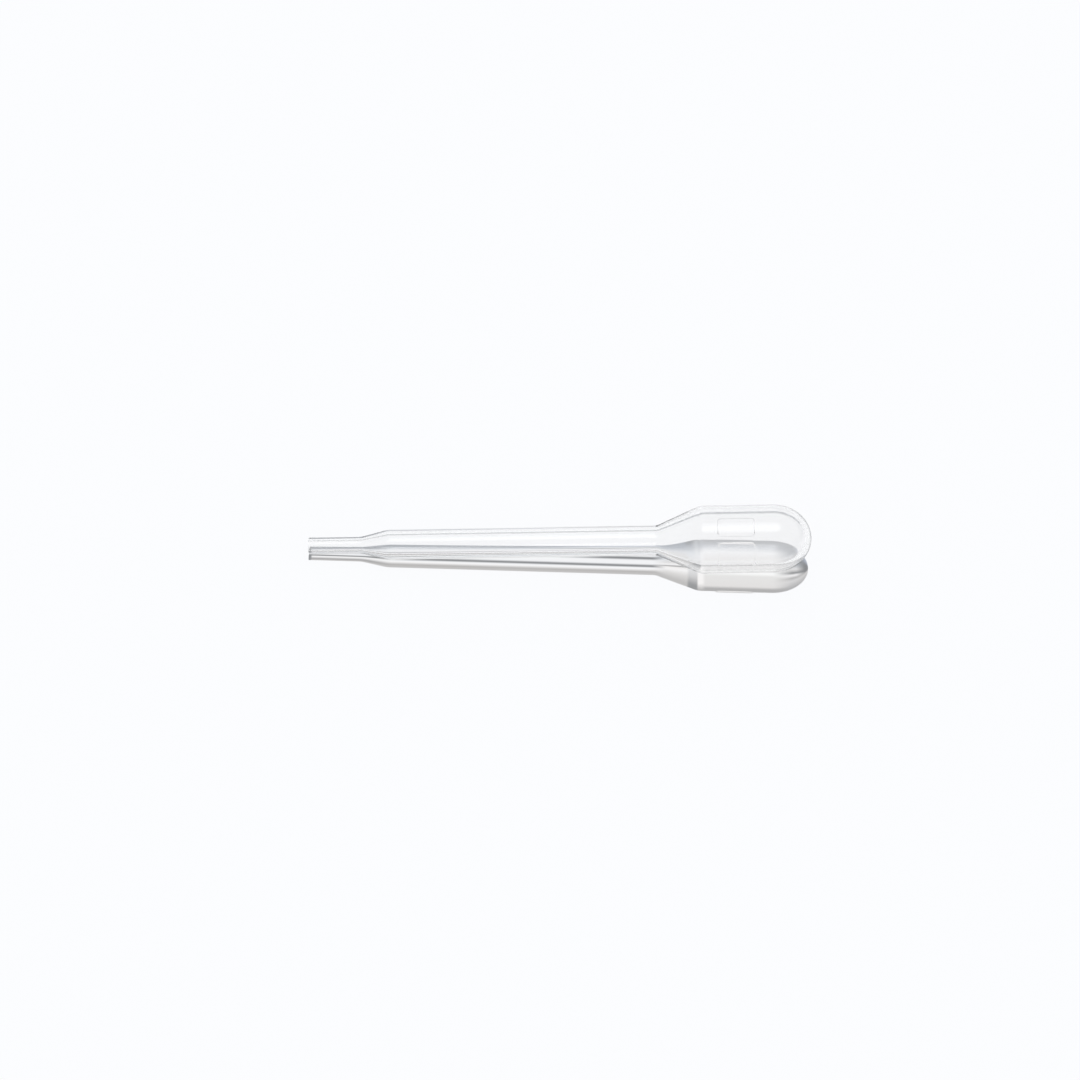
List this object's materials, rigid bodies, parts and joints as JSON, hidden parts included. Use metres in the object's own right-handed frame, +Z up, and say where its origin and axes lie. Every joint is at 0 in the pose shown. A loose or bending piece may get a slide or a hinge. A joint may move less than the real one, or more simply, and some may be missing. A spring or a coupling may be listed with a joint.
{
  "type": "dropper pipette",
  "caption": "Clear plastic dropper pipette with a fine cut tip, a straight hollow stem and a squeeze bulb that draws up and drops small volumes of liquid.",
  "frame": {"origin": "middle of the footprint, on the surface the pipette rests on", "axes": "+X along the pipette from its open tip to its bulb, +Z up; the pipette lies on its bulb's edge and its stem's shoulder, so its axis rises about 3.5 degrees towards the bulb"},
  "size_m": [0.065, 0.009, 0.0093],
  "materials": {
    "clear_ldpe": "blow-moulded natural low-density polyethylene, clear with a slight milky haze"
  },
  "bodies": {
    "root": {"pipette": "clear_ldpe"}
  },
  "joints": []
}
